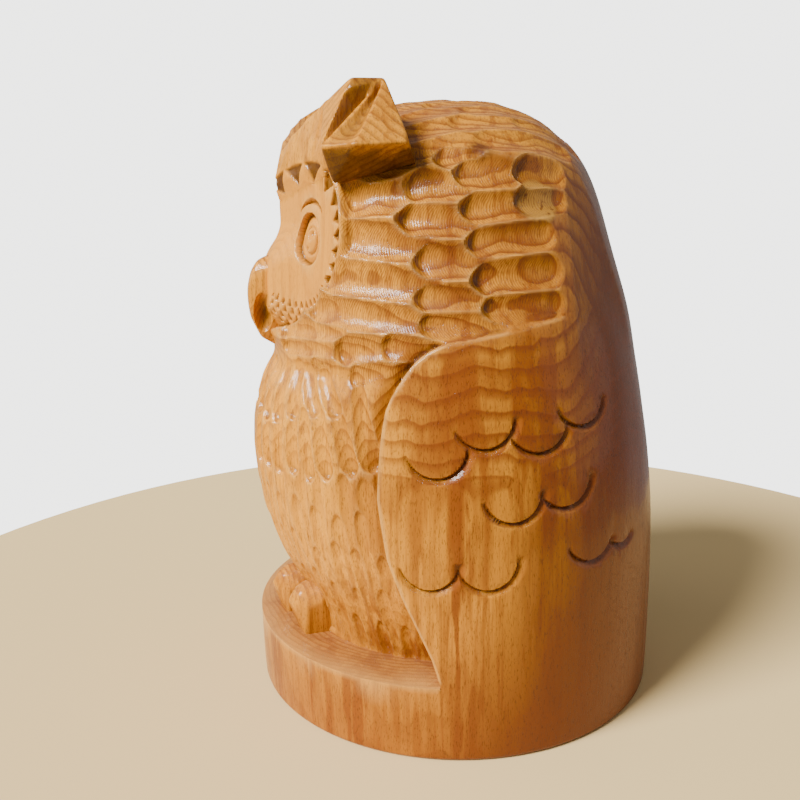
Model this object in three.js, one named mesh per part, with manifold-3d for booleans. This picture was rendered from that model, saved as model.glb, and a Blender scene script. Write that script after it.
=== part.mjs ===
// Carved wooden owl, made from one log. Millimetres, +Z up.
// The owl faces -Y, its left side is +X, and the origin is the centre of its flat underside.
import * as THREE from 'three';
import { ConvexGeometry } from 'three/addons/geometries/ConvexGeometry.js';
import { mergeVertices } from 'three/addons/utils/BufferGeometryUtils.js';
import Module from 'manifold-3d';

const wasm = await Module();
wasm.setup();

// Driving dimensions of the log
const BASE_RADIUS = 65;
const TUFT_TOP = 185;
const EDGE_ROUND = 1.5;

// Outline of the log: height, reach to the front, to each side, to the back
const LOG_PROFILE = [
  [0, BASE_RADIUS - EDGE_ROUND, BASE_RADIUS - EDGE_ROUND, BASE_RADIUS - EDGE_ROUND],
  [EDGE_ROUND, BASE_RADIUS, BASE_RADIUS, BASE_RADIUS],
  [25, 65.4, 65.4, 65.4],
  [50, 65.4, 65.4, 65.2],
  [75, 65.2, 64.6, 63],
  [92, 64, 62.8, 60.2],
  [107, 60, 60.6, 57],
  [122, 58, 58, 54],
  [138, 57.5, 54.5, 49],
  [153, 56, 50, 44],
  [163, 52, 45.5, 39.3],
  [170, 46, 39.5, 34],
  [176, 37, 31.5, 28],
  [180, 27, 23, 20.5],
  [182.6, 15, 12, 11],
  [183.4, 0, 0, 0],
];
const LOG_SEGMENTS = 44;
const DOME_ROW = 10; // row from which the rings lie twice as close

// Ledge that the feet stand on, cut into the front of the log
const LEDGE_HEIGHT = 22.7;
const LEDGE_HALF_ANGLE = 69;

// Chest between the wings: height, reach at the middle, reach at the wing edge, angle of that edge
const CHEST_PROFILE = [
  [LEDGE_HEIGHT, 51, 50.6, LEDGE_HALF_ANGLE],
  [34, 55, 54.2, 65.6],
  [47, 59, 58.4, 60.3],
  [63, 63.3, 61.6, 55.4],
  [84, 65, 61.6, 53.8],
  [100, 61.4, 59.4, 55.2],
  [109, 57.2, 58.2, 58],
  [117, 59.5, 63, 58],
];
const CHEST_RINGS = 12;
const CHEST_STRIPS = 20;
const CLEAR = 12; // how far a cut reaches outside the log

// Flutes of the chest, in an upper and a lower tier: heights, and the angle of the first one
const FLUTE_TIERS = [
  { top: 108, bottom: 90, first: 5 },
  { top: 91, bottom: 76, first: 7.2 },
];
const FLUTE = { count: 5, spread: 11, width: 11.2, depth: 1.5 };

// Face: two flat halves that meet at a middle ridge
const FACE_TURN = THREE.MathUtils.degToRad(19.3);
const FACE_LEAN = 0.08;
const FACE_RIDGE = new THREE.Vector3(0, -54.1, 150);
const FACE_OUTLINE = [
  [-4, 156], [4.8, 160], [15, 161.3], [22.7, 162], [28.6, 158.7], [34, 153],
  [35.6, 146], [32.6, 138], [27.8, 132.3], [22, 125.2], [12, 118.6], [-4, 115],
];
const FACE_CUT_DEPTH = 30;

// Eye: place on the face, ring groove, iris groove inside it, and how far the grooves' middle stands out
const EYE = { along: 19.9, height: 142.7, radius: 6.6, groove: 1.1, iris: 3.5, irisGroove: 0.66, lift: 0.2 };

// Ear tuft and its arm of brow, on the left side
const TUFT_POINTS = [
  [0, -54.9, 157.8], [0, -52.2, 168], [0, -40, 160],
  [15, -50.6, 161.8], [23, -47.8, 162.4], [29, -46, 158.6],
  [35, -46.6, 166.3], [44, -41, 166.3], [46, -26.6, 167],
  [33, -37.5, TUFT_TOP], [33, -28.5, TUFT_TOP], [28.5, -36.5, TUFT_TOP], [29, -29, TUFT_TOP],
  [31, -43.8, 156.6], [40, -19.5, 162.4], [22, -24, 176], [20, -20, 160],
];

// Hooked beak, on the left side: along its ridge, at its root, on its flanks
const BEAK_POINTS = [
  [1.5, -54.9, 146.1], [2.6, -58.2, 140], [3.4, -62.2, 136], [3.2, -63.7, 132.4],
  [2.6, -64.6, 127.4], [1.8, -63.5, 119.4], [1, -60, 112.5], [0.8, -57.3, 110.6],
  [5, -52, 145], [7.5, -52, 134], [7, -52, 124], [2, -52, 112],
  [6.6, -59, 133.5], [5.6, -60, 124],
];

// Rows of gouge cuts on the head run from the face to the nape, around this axis
const ROW_AXIS = { y: 4.6, z: 127.4, rise: THREE.MathUtils.degToRad(5.6) };
const SIDE_ROWS = { first: -25.9, pitch: 11.4, starts: [-55, -55, -53, -48, -45, -43] };
const CROWN_ROWS = { first: 42.5, pitch: 8, starts: [-20, -19, -18, -17, -17, -17] };
const SIDE_STEPS = [17, 15, 21];
const CROWN_STEPS = [17, 18, 16];
const ROW_DEPTH = 2;

// Cuts of a row run into each other: how far past each end, and how much wider than the row
const ROW_OVERLAP = { start: 1.5, end: 2.5, width: 1.06 };

// Gouge cut: its bulge in depths, the place of its middle along it, and how steeply it goes in
const GOUGE = { bulge: 3, middle: 0.47, lean: THREE.MathUtils.degToRad(4) };

// Feather arcs on each wing: angle of the lowest point, its height
const WING_ARCS = [
  [69, 82.6], [80, 90.2], [93.8, 88.3], [106.2, 94], [86.8, 70.1],
  [100.2, 72.5], [67, 51.6], [81, 51.6], [107, 55.7], [120.5, 56.8],
];
const ARC = { radius: 7.7, depth: 1.6, bevel: 2.4, rise: 1.2 };

// Foot: where its middle is to the side, its reach to the front and back, heights over the ledge
const FOOT = { offset: 9.4, width: 17, front: 57.5, back: 44, height: 14.8, toe: 6.2, round: 5, sink: 1 };

const WOOD = new THREE.MeshStandardMaterial({ color: 0xb5732f, roughness: 0.38, metalness: 0 });

const radians = THREE.MathUtils.degToRad;

/** Closed triangle mesh as a solid that can be joined and cut. */
function solidOf(geometry) {
  const bare = geometry.clone();
  bare.deleteAttribute('normal');
  bare.deleteAttribute('uv');
  const merged = mergeVertices(bare, 1e-4);
  const points = Float32Array.from(merged.attributes.position.array);
  const corners = merged.index ? Uint32Array.from(merged.index.array) : null;
  return new wasm.Manifold(new wasm.Mesh({ numProp: 3, vertProperties: points, triVerts: corners }));
}

/** Solid back as a geometry with flat faces. */
function geometryOf(solid) {
  const mesh = solid.getMesh();
  const geometry = new THREE.BufferGeometry();
  geometry.setAttribute('position', new THREE.BufferAttribute(mesh.vertProperties, 3));
  geometry.setIndex(new THREE.BufferAttribute(mesh.triVerts, 1));
  geometry.computeVertexNormals();
  return geometry;
}

/** Smooth curve through the rows of a table, at a place given as a row number with a fraction. */
function rowAt(table, place) {
  const last = table.length - 1;
  const index = Math.min(Math.max(Math.floor(place), 0), last - 1);
  const u = place - index;
  const row = (k) => table[Math.min(Math.max(k, 0), last)];
  return table[0].map((_, column) => {
    const [a, b, c, d] = [-1, 0, 1, 2].map((k) => row(index + k)[column]);
    const bend = (2 * a - 5 * b + 4 * c - d) * u * u + (3 * b - a - 3 * c + d) * u * u * u;
    return 0.5 * (2 * b + (c - a) * u + bend);
  });
}

/** Row of a table at a height, which is its first column. */
function rowAtHeight(table, height) {
  let low = 0;
  let high = table.length - 1;
  for (let step = 0; step < 40; step += 1) {
    const middle = (low + high) / 2;
    if (rowAt(table, middle)[0] < height) low = middle;
    else high = middle;
  }
  return rowAt(table, low);
}

/** Point of the log's surface: half ellipses to the front and to the back of each section. */
function logPoint(row, angle) {
  const [height, front, side, back] = row;
  const reach = Math.cos(angle) > 0 ? front : back;
  return new THREE.Vector3(side * Math.sin(angle), -reach * Math.cos(angle), height);
}

/** Less than zero inside the log, more than zero outside it. */
function outsideLog(point) {
  const top = LOG_PROFILE[LOG_PROFILE.length - 1][0];
  if (point.z >= top || point.z <= 0) return 1;
  const [, front, side, back] = rowAtHeight(LOG_PROFILE, point.z);
  const reach = point.y < 0 ? front : back;
  return Math.hypot(point.x / side, point.y / reach) - 1;
}

/** Where a line from inside the log leaves it. */
function leaveLog(start, direction) {
  let near = 0;
  let far = 120;
  for (let step = 0; step < 30; step += 1) {
    const middle = (near + far) / 2;
    if (outsideLog(start.clone().addScaledVector(direction, middle)) < 0) near = middle;
    else far = middle;
  }
  return start.clone().addScaledVector(direction, near);
}

/** Closed mesh from rings of points, each ring the same length, closed by a fan at both ends. */
function ringsGeometry(rings, first, last) {
  const count = rings[0].length;
  const points = [first, ...rings.flat(), last];
  const index = [];
  const at = (ring, k) => 1 + ring * count + (k % count);
  for (let k = 0; k < count; k += 1) {
    index.push(0, at(0, k + 1), at(0, k));
    index.push(points.length - 1, at(rings.length - 1, k), at(rings.length - 1, k + 1));
    for (let ring = 0; ring + 1 < rings.length; ring += 1) {
      const [a, b, c, d] = [at(ring, k), at(ring, k + 1), at(ring + 1, k + 1), at(ring + 1, k)];
      index.push(a, b, c, a, c, d);
    }
  }
  const geometry = new THREE.BufferGeometry();
  geometry.setAttribute('position', new THREE.Float32BufferAttribute(points.flatMap((p) => p.toArray()), 3));
  geometry.setIndex(index);
  return geometry;
}

/** The uncarved log, tapered to a domed top. */
function logSolid() {
  const rows = LOG_PROFILE.slice(0, -1).map((_, k) => k);
  const places = rows.flatMap((k) => (k > DOME_ROW ? [k - 0.5, k] : [k]));
  const rings = places.map((place) => {
    const row = rowAt(LOG_PROFILE, place);
    return Array.from({ length: LOG_SEGMENTS }, (_, k) => logPoint(row, (-2 * Math.PI * k) / LOG_SEGMENTS));
  });
  const top = LOG_PROFILE[LOG_PROFILE.length - 1][0];
  const ends = [new THREE.Vector3(0, 0, 0), new THREE.Vector3(0, 0, top)];
  return solidOf(ringsGeometry(rings.map((ring) => ring.reverse()), ...ends));
}

/** What is cut away in front of the chest, between the wings and down to the ledge. */
function chestCut() {
  const rowsPerRing = (CHEST_PROFILE.length - 1) / CHEST_RINGS;
  const places = Array.from({ length: CHEST_RINGS + 1 }, (_, k) => k * rowsPerRing);
  const across = CHEST_STRIPS;
  const outer = BASE_RADIUS + CLEAR;
  const rings = places.map((place) => {
    const [height, middle, edge, halfAngle] = rowAt(CHEST_PROFILE, place);
    const ring = [];
    for (let k = 0; k <= across; k += 1) {
      const share = (2 * k) / across - 1;
      const angle = radians(share * halfAngle);
      const reach = middle + (edge - middle) * share * share;
      ring.push(new THREE.Vector3(reach * Math.sin(angle), -reach * Math.cos(angle), height));
    }
    for (let k = across; k >= 0; k -= 1) {
      const angle = radians(((2 * k) / across - 1) * halfAngle);
      ring.push(new THREE.Vector3(outer * Math.sin(angle), -outer * Math.cos(angle), height));
    }
    return ring.reverse();
  });
  const middleOf = (ring) => {
    const front = ring[Math.floor(ring.length / 4)];
    const back = ring[Math.floor((3 * ring.length) / 4)];
    return front.clone().add(back).multiplyScalar(0.5);
  };
  return solidOf(ringsGeometry(rings, middleOf(rings[0]), middleOf(rings[rings.length - 1])));
}

/** Frame of one half of the face: x runs outward along it, y is up, z points out of it. */
function faceFrame(side) {
  const along = new THREE.Vector3(side * Math.cos(FACE_TURN), Math.sin(FACE_TURN), 0);
  const up = new THREE.Vector3(0, FACE_LEAN, 1).normalize();
  const out = along.clone().cross(up).multiplyScalar(side).normalize();
  const trueUp = out.clone().cross(along).multiplyScalar(side);
  return new THREE.Matrix4().makeBasis(along.multiplyScalar(side), trueUp, out).setPosition(FACE_RIDGE);
}

/** Flat half of the face, cut back to its plane inside the outline of the disc. */
function faceCut(side) {
  const outline = FACE_OUTLINE.map(([a, z]) => new THREE.Vector2(side * a, z - FACE_RIDGE.z));
  const shape = new THREE.Shape(outline);
  const block = new THREE.ExtrudeGeometry(shape, { depth: FACE_CUT_DEPTH, bevelEnabled: false });
  return solidOf(block.applyMatrix4(faceFrame(side)));
}

/** Ring groove round the eye, and the smaller one of the iris inside it. */
function eyeCut(side) {
  const place = new THREE.Matrix4().makeTranslation(side * EYE.along, EYE.height - FACE_RIDGE.z, EYE.lift);
  const frame = faceFrame(side).multiply(place);
  const groove = new THREE.TorusGeometry(EYE.radius, EYE.groove, 5, 16).applyMatrix4(frame);
  const inner = new THREE.TorusGeometry(EYE.iris, EYE.irisGroove, 4, 12).applyMatrix4(frame);
  return solidOf(groove).add(solidOf(inner));
}

/** Convex solid through the given points. */
function wedge(points) {
  return solidOf(new ConvexGeometry(points.map((p) => new THREE.Vector3(...p))));
}

/** Ear tuft with the arm of brow that rises to it from the middle of the face. */
function tuft(side) {
  return wedge(TUFT_POINTS.map(([x, y, z]) => [side * x, y, z]));
}

/** Hooked beak, from its root between the eyes to its tip at the neck. */
function beak() {
  return wedge(BEAK_POINTS.flatMap(([x, y, z]) => [[x, y, z], [-x, y, z]]));
}

/** Foot with a rounded top that slopes to the front. */
function foot(side) {
  const { offset, width, front, back, height, toe, round, sink } = FOOT;
  const shape = new THREE.Shape();
  shape.moveTo(back, -sink);
  shape.lineTo(front, -sink);
  shape.lineTo(front, toe);
  shape.quadraticCurveTo(front - round / 5, height - round / 3, front - round, height);
  shape.lineTo(back, height);
  const block = new THREE.ExtrudeGeometry(shape, { depth: width, bevelEnabled: false, curveSegments: 4 });
  const turn = new THREE.Matrix4().makeBasis(
    new THREE.Vector3(0, -1, 0), new THREE.Vector3(0, 0, 1), new THREE.Vector3(-1, 0, 0),
  );
  turn.setPosition(side * offset + width / 2, 0, LEDGE_HEIGHT);
  return solidOf(block.applyMatrix4(turn));
}

/** Shallow rounded cut of a gouge: deepest near its start, running out at its end. */
function gougeCut(start, end, outward, width, depth) {
  const along = end.clone().sub(start);
  const length = along.length();
  along.normalize();
  const across = outward.clone().cross(along).normalize();
  const out = along.clone().cross(across).normalize();
  const bulge = GOUGE.bulge * depth;
  const chord = Math.sqrt(1 - ((bulge - depth) / bulge) ** 2);
  const middle = start.clone().lerp(end, GOUGE.middle).addScaledVector(out, bulge - depth);
  const frame = new THREE.Matrix4().makeBasis(along, across, out).setPosition(middle);
  frame.multiply(new THREE.Matrix4().makeRotationY(-GOUGE.lean));
  frame.scale(new THREE.Vector3(length / 2 / chord, width / 2 / chord, bulge));
  const round = new THREE.SphereGeometry(1, 8, 4).rotateZ(Math.PI / 2);
  return solidOf(round.applyMatrix4(frame));
}

/** Point of the head at a turn about the row axis and a distance along it. */
function rowPoint(turn, station) {
  const { y, z, rise } = ROW_AXIS;
  const start = new THREE.Vector3(0, y + station * Math.cos(rise), z + station * Math.sin(rise));
  const a = radians(turn);
  const up = new THREE.Vector3(0, -Math.sin(rise), Math.cos(rise)).multiplyScalar(Math.sin(a));
  return leaveLog(start, up.add(new THREE.Vector3(Math.cos(a), 0, 0)));
}

/** Gouge cuts of one row of the head, one after another from its start, mirrored by side. */
function rowCuts(side, turn, pitch, first, steps) {
  const cuts = [];
  let station = first;
  for (const step of steps) {
    const start = rowPoint(turn, station - ROW_OVERLAP.start);
    const end = rowPoint(turn, station + step + ROW_OVERLAP.end);
    const middle = rowPoint(turn, station + step / 2);
    const above = rowPoint(turn + pitch / 2, station + step / 2);
    const below = rowPoint(turn - pitch / 2, station + step / 2);
    station += step;
    const outward = end.clone().sub(start).cross(above.clone().sub(below)).normalize();
    const lift = middle.clone().sub(start.clone().lerp(end, 0.5)).dot(outward);
    start.addScaledVector(outward, lift);
    end.addScaledVector(outward, lift);
    for (const point of [start, end, outward]) point.x *= side;
    cuts.push(gougeCut(start, end, outward, above.distanceTo(below) * ROW_OVERLAP.width, ROW_DEPTH));
  }
  return cuts;
}

/** All the rows of one side of the head. */
function headCuts(side) {
  const cuts = [];
  SIDE_ROWS.starts.forEach((start, k) => {
    const turn = SIDE_ROWS.first + SIDE_ROWS.pitch * (k + 0.5);
    const steps = k === 0 ? SIDE_STEPS.slice(0, 1) : SIDE_STEPS;
    cuts.push(...rowCuts(side, turn, SIDE_ROWS.pitch, start, steps));
  });
  CROWN_ROWS.starts.forEach((start, k) => {
    const turn = CROWN_ROWS.first + CROWN_ROWS.pitch * (k + 0.5);
    cuts.push(...rowCuts(side, turn, CROWN_ROWS.pitch, start, CROWN_STEPS));
  });
  return cuts;
}

/** Feather arc on a wing: a crescent, square at its upper edge and sloping out below. */
function arcCut(side, angleDegrees, height) {
  const { radius, depth, bevel, rise } = ARC;
  const angle = radians(angleDegrees);
  const centre = logPoint(rowAtHeight(LOG_PROFILE, height + radius), angle);
  const low = logPoint(rowAtHeight(LOG_PROFILE, height), angle);
  const up = centre.clone().sub(low).normalize();
  const sideways = new THREE.Vector3(Math.cos(angle), Math.sin(angle), 0);
  const out = sideways.clone().cross(up).normalize();
  const frame = new THREE.Matrix4().makeBasis(sideways, up, out).setPosition(centre);
  const wide = new THREE.CylinderGeometry(radius + bevel, radius - bevel / 6, depth + 2, 12);
  wide.rotateX(Math.PI / 2).translate(0, 0, (rise - depth) / 2);
  const core = new THREE.CylinderGeometry(radius, radius, CLEAR, 12).rotateX(Math.PI / 2);
  const lower = new THREE.BoxGeometry(4 * radius, 2 * radius, 2 * radius).translate(0, -radius - rise, 0);
  const crescent = solidOf(wide).subtract(solidOf(core)).intersect(solidOf(lower));
  const placed = new THREE.Matrix4().makeScale(side, 1, 1).multiply(frame);
  return crescent.transform(placed.elements);
}

/** Long flutes of the chest, in an upper and a lower tier. */
function chestFlutes(side) {
  const cuts = [];
  for (const tier of FLUTE_TIERS) {
    for (let k = 0; k < FLUTE.count; k += 1) {
      const degrees = tier.first + FLUTE.spread * k;
      const angle = side * radians(degrees);
      const at = (height) => {
        const [, middle, edge, halfAngle] = rowAtHeight(CHEST_PROFILE, height);
        const reach = middle + (edge - middle) * (degrees / halfAngle) ** 2;
        return new THREE.Vector3(reach * Math.sin(angle), -reach * Math.cos(angle), height);
      };
      const outward = new THREE.Vector3(Math.sin(angle), -Math.cos(angle), 0);
      cuts.push(gougeCut(at(tier.bottom), at(tier.top), outward, FLUTE.width, FLUTE.depth));
    }
  }
  return cuts;
}

const sides = [1, -1];
let owl = logSolid();
owl = owl.subtract(chestCut());
for (const side of sides) {
  for (const cut of headCuts(side)) owl = owl.subtract(cut);
  for (const cut of chestFlutes(side)) owl = owl.subtract(cut);
  for (const [angle, height] of WING_ARCS) owl = owl.subtract(arcCut(side, angle, height));
  owl = owl.add(tuft(side));
}
for (const side of sides) owl = owl.subtract(faceCut(side));
owl = owl.add(beak());
for (const side of sides) {
  owl = owl.subtract(eyeCut(side));
  owl = owl.add(foot(side));
}

const mesh = new THREE.Mesh(geometryOf(owl), WOOD);
mesh.name = 'owl';

const group = new THREE.Group();
group.add(mesh);
export default group;
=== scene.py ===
"""Carved wooden owl: one log, shaped and gouged by hand, oiled and varnished.

The surface is worked out in millimetres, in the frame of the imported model: the owl faces -Y,
its left side is +X and the origin is the centre of its flat underside.
"""
import math
from functools import partial

import bmesh
import bpy
import numpy as np
from mathutils import Matrix, Vector


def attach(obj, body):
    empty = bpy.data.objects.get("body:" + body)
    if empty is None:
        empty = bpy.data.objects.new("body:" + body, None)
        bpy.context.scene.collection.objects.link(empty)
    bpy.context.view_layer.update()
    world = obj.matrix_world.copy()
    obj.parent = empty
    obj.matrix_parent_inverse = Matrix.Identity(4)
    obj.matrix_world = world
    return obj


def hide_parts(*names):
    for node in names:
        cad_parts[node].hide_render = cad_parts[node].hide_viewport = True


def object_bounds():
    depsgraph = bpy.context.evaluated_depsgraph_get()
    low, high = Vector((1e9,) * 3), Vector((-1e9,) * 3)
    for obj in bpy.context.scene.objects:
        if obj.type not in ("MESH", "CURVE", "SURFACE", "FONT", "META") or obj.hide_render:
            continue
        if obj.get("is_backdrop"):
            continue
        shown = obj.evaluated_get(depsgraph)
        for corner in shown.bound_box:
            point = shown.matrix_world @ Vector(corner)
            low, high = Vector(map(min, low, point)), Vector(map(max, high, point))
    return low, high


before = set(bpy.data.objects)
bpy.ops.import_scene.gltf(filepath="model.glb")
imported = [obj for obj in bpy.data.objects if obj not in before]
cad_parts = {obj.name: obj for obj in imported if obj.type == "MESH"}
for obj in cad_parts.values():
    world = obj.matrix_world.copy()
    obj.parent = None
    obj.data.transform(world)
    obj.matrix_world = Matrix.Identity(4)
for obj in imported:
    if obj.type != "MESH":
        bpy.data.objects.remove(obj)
CAD_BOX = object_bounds()

bl_info = {
    "name": "Carved wooden owl",
    "version": (1, 0, 0),
    "blender": (4, 5, 0),
    "location": "3D View > Sidebar > Owl",
    "description": "Builds a wooden owl carved from one log, with its material and a plain studio",
    "category": "Add Mesh",
}

MM = 0.001
SEED = 11

# Outline of the log: height, reach to the front, to each side, to the back
LOG_PROFILE = [
    (0, 63.5, 63.5, 63.5), (1.5, 65, 65, 65), (25, 65.4, 65.4, 65.4), (50, 65.4, 65.4, 65.2),
    (75, 65.2, 64.6, 63), (92, 64, 62.8, 60.2), (107, 60, 60.6, 57), (122, 58, 58, 54),
    (138, 57.5, 54.5, 49), (153, 56, 50, 44), (163, 52, 45.5, 39.3), (170, 46, 39.5, 34),
    (176, 37, 31.5, 28), (180, 27, 23, 20.5), (182.6, 15, 12, 11), (183.4, 0, 0, 0),
]

# Chest between the wings: height, reach at the middle, reach at the wing edge
CHEST_PROFILE = [
    (22.7, 51, 50.6), (34, 55, 54.2), (47, 59, 58.4), (63, 63.3, 61.6), (84, 65, 61.6),
    (100, 61.4, 59.4), (109, 57.2, 58.2), (117, 59.5, 63), (121, 62, 66),
]

# Front edge of the wing, then its top edge: angle from the front, height
WING_EDGE = [
    (69, 22), (66.8, 31), (60.3, 47), (58.5, 51), (56.3, 59), (55, 65), (54, 76), (53.8, 84),
    (54.5, 92), (55.7, 100), (58, 105.9), (61, 110.7), (64.7, 114.3), (69.7, 116.9),
    (77, 118.2), (87.3, 120), (97.5, 121.8), (103, 122.6),
]

# Angle from the front of the line that the mesh follows beside the wing, by height
SEAM = [(0, 69), (22.7, 69), (31, 66.8), (47, 60.3), (59, 56.3), (76, 54), (100, 55.7), (106, 58), (190, 58)]

# Face: two halves that meet at a middle ridge; outline as distance along the half, height
FACE_TURN = math.radians(19.3)
FACE_LEAN = 0.08
FACE_RIDGE = np.array([0, -54.1, 150.0])
FACE_OUTLINE = [
    (-4, 159), (3, 161.5), (8, 163), (17, 164.2), (25.7, 163.8), (31, 159.5), (34.5, 154), (36, 146),
    (35, 139), (32.5, 133.5), (28, 128), (22.8, 123), (15.6, 119.4), (6, 116.8), (-4, 115.5),
]
EYE = (19.7, 143.3)
LID = (20.4, 146.3)
DASH_MIDDLE = (16.5, 141)
CHIP_MIDDLE = (16, 142)

# Gouge cuts on the side of the head: start and end as angle from the front and height, then width
HEAD_CUTS = [
    ((33, 152), (61, 155.5), 11), ((59.5, 156.8), (76, 157.3), 10.3), ((74, 160.3), (90, 160.3), 10.9),
    ((33, 144.5), (66, 141.3), 10.8), ((58.2, 149), (78, 147.8), 9.9), ((75.5, 150.7), (94, 151.9), 9),
    ((32, 134.3), (66.5, 131.3), 11.2), ((62, 138.4), (81, 138), 10.6), ((76.5, 142), (98.5, 143.8), 9.4),
    ((26, 125.6), (63, 122.4), 8.6), ((61.3, 129), (81, 128.4), 8), ((77, 133.4), (99.5, 134.4), 9.9),
    ((62, 121.6), (82.5, 122.4), 6.5), ((79.5, 125.9), (99, 125.9), 7.8), ((90.5, 152.4), (107, 152.9), 8.4),
    ((92.5, 160.7), (110, 159.8), 9.1), ((68, 164.6), (78, 165.5), 8), ((10, 118), (38, 119.2), 7),
    ((12, 112.6), (38, 114.2), 6.6), ((37, 113.8), (53, 115.2), 8.6), ((51.3, 115.4), (64.5, 115.9), 7.4),
    ((26, 108.2), (42, 108.9), 6.6), ((41.5, 106.8), (60.5, 109.6), 8.6),
]

# Strokes over the crown, in rows about this axis: turn from, turn to, where each stroke starts and ends
ROW_AXIS = np.array([0, 4.6, 127.4])
ROW_RISE = math.radians(5.6)
CROWN_ROWS = [
    (42.9, 50, (-37, -6, 15)), (50, 58.5, (-36, -12, 8, 24)), (58.5, 66.5, (-40, -6, 22)),
    (66.5, 74.5, (-42, -14, 9, 29)), (74.5, 82.5, (-44, -4, 28)), (82.5, 90, (-46, -16, 14, 33)),
]

# Flutes of the chest from top to bottom, as angle from the front and height
CHEST_FLUTES = [
    ((3.4, 104), (3.6, 91)), ((10, 103), (11, 90)), ((16.5, 105), (18.5, 91)), ((22.8, 106), (26, 92)),
    ((28.5, 106), (35, 95)), ((34.5, 106), (42.2, 96)),
    ((6.6, 91), (6.8, 75)), ((13.2, 90), (13.6, 76)), ((19.6, 92), (20.6, 76)), ((26, 92), (27.6, 77)),
    ((30.5, 93), (33.6, 77)), ((35.5, 95), (39.4, 78.5)), ((42.3, 95), (47.2, 80)), ((47.5, 101), (52, 82)),
]

# Feather arcs on each wing: left tip, lowest point, right tip, as angle from the front and height
WING_ARCS = [
    ((61.8, 88.6), (69, 82.6), (75.8, 91.1)), ((73.5, 95.2), (80, 90.2), (87.2, 98.2)),
    ((86.5, 94), (93.8, 88.3), (102, 94.9)), ((100.2, 99.1), (106.2, 94), (115.8, 100.6)),
    ((80, 76.3), (86.8, 70.1), (94, 78.3)), ((94, 77.9), (100.2, 72.5), (108.5, 80.5)),
    ((59.8, 57.8), (67, 51.6), (73.5, 59.4)), ((73.5, 59.4), (81, 51.6), (87.5, 60.5)),
    ((101.7, 61), (107, 55.7), (116.5, 61)), ((116, 59.9), (120.5, 56.8), (126.2, 59.4)),
]

# Ear tuft, on the left side: the corners of its flats
TUFT_POINTS = [
    (38, -47.2, 167), (36, -45.6, 162.9), (45, -39.6, 167.2), (46.5, -26.5, 167.5), (45, -26, 170),
    (33, -37.5, 185), (33, -28.5, 185), (28.5, -36.5, 185), (29, -29, 185), (25, -44, 167),
    (22, -43.2, 179.4), (33, -43.2, 157.8), (40, -22, 162.5), (22, -24, 176), (20, -20, 160), (22, -38, 162),
]

# How far the corners of the other tuft and brow, above a height, lie from their mirror images
FAR_SHIFT = (-2.2, 2.6, -0.7)
FAR_ABOVE = 180

# Brow between the middle and the tuft, on the left side
BROW_POINTS = [
    (0, -54.5, 161.4), (0, -55.2, 158.8), (0, -53.4, 153), (8, -51.4, 162.4), (8, -51.7, 160.2),
    (8, -50.2, 155), (16, -48.1, 163.6), (16, -47.1, 157.6), (24, -45.3, 164), (25, -44.2, 159.4),
    (30, -43.2, 164.4), (0, -52.4, 168.3), (11, -50.2, 172.6), (22, -43.4, 179.6), (31, -38.8, 183.6),
    (0, -49, 156), (17, -41, 159), (28, -36, 162), (0, -40, 162), (12, -38, 174), (32, -38, 172),
]

# Hooked beak: its corners on the left side
BEAK_POINTS = [
    (1, -57.6, 138.8), (1.6, -61, 137.2), (2.2, -63.1, 133.9), (2.3, -64.4, 129), (2, -64.6, 125),
    (1.6, -64, 119.6), (1.1, -61.2, 113.4), (0.8, -56.4, 110.4), (3.4, -54, 138.6), (4.8, -52, 134),
    (4.6, -52, 124), (2, -52, 112), (4.8, -58.8, 134.5), (4, -60, 122),
]

# Feet, the left one first: the middle of each knuckle, and the corners of a foot about it
FEET = [(13.8, -52.2, 31.2), (-3.2, -55.2, 30.2)]
FOOT_CORNERS = [
    (-5.4, -2.6, -9.2), (-0.2, -3.1, -9.2), (6.2, -1.8, -9.2), (6, 3, -9.2), (6, 9, -9.2), (-6, 9, -9.2),
    (6.2, -1.2, 0), (3.2, -4.8, 0.2), (-1, -6.4, 0.4), (-4.8, -4.4, 0.2), (-6.2, 0, 0), (6.2, 3.6, 2.2),
    (-6.2, 6, 2), (3.2, -3, 4.2), (-0.2, -4.7, 4.2), (-3.2, -3, 4.2), (-4, 1, 4.6), (4, 1.4, 5),
    (4.4, 6, 5), (-4.4, 6, 5), (0.8, -0.8, 6.8), (-1.2, -0.8, 6.8), (0, 4, 7.2), (0, 8, 7),
]

# Chips along the top and the outer edge of a face: the middle of each, in degrees round the disc
CHIP_PLACES = [-69.7, -39.7, -9.8, 17.8, 38.4, 55, 68.5, 82, 95.5, 109, 122]

# Feather marks of the chest: heights of their rows, degrees from one to the next, and how many in a row
MARK_ROWS = np.arange(82, 34, -11.5)
MARK_SPREAD = 7.2
MARKS_IN_ROW = 10
MARK_LENGTH = 24

# Hollow of the chest beside a foot: its depth, and its reach in degrees round the log and in height
NEST_DEPTH = 2.6
NEST_REACH = (13, 10)

# Flat behind each side of the head: its direction from the front in degrees
NAPE_TURN = math.radians(126)

SIDES = (1, -1)

# What turns a place on the owl's left side into the same place on each side
MIRROR = {side: np.array([side, 1, 1]) for side in SIDES}

# Rows of the mesh: the first above the underside, the step on the foot, and how many cross the ledge
FIRST_ROW = 2.0
FOOT_STEP = 1.2
LEDGE_ROWS = 14

# Rings of the rounded lower edge, the foot's radius, and the ends of the log's middle line
FOOT_RINGS = 5
FOOT_RADIUS = 65
UNDERSIDE = np.array([0, 0, 0.0])
CROWN = np.array([0, 0, 183.3])

# Columns of half the log, for the chest, the side and the back: width in mm, and mesh steps for each column
COLUMNS = ((66, 0.85), (62, 1), (59, 2.2))
SEAM_GAP = 0.24
SIDE_END = 128

# A gouge cut is looked for this far beside it and past its ends, and runs out over the second length
GOUGE_REACH = 9
RUN_OUT = 5

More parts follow.
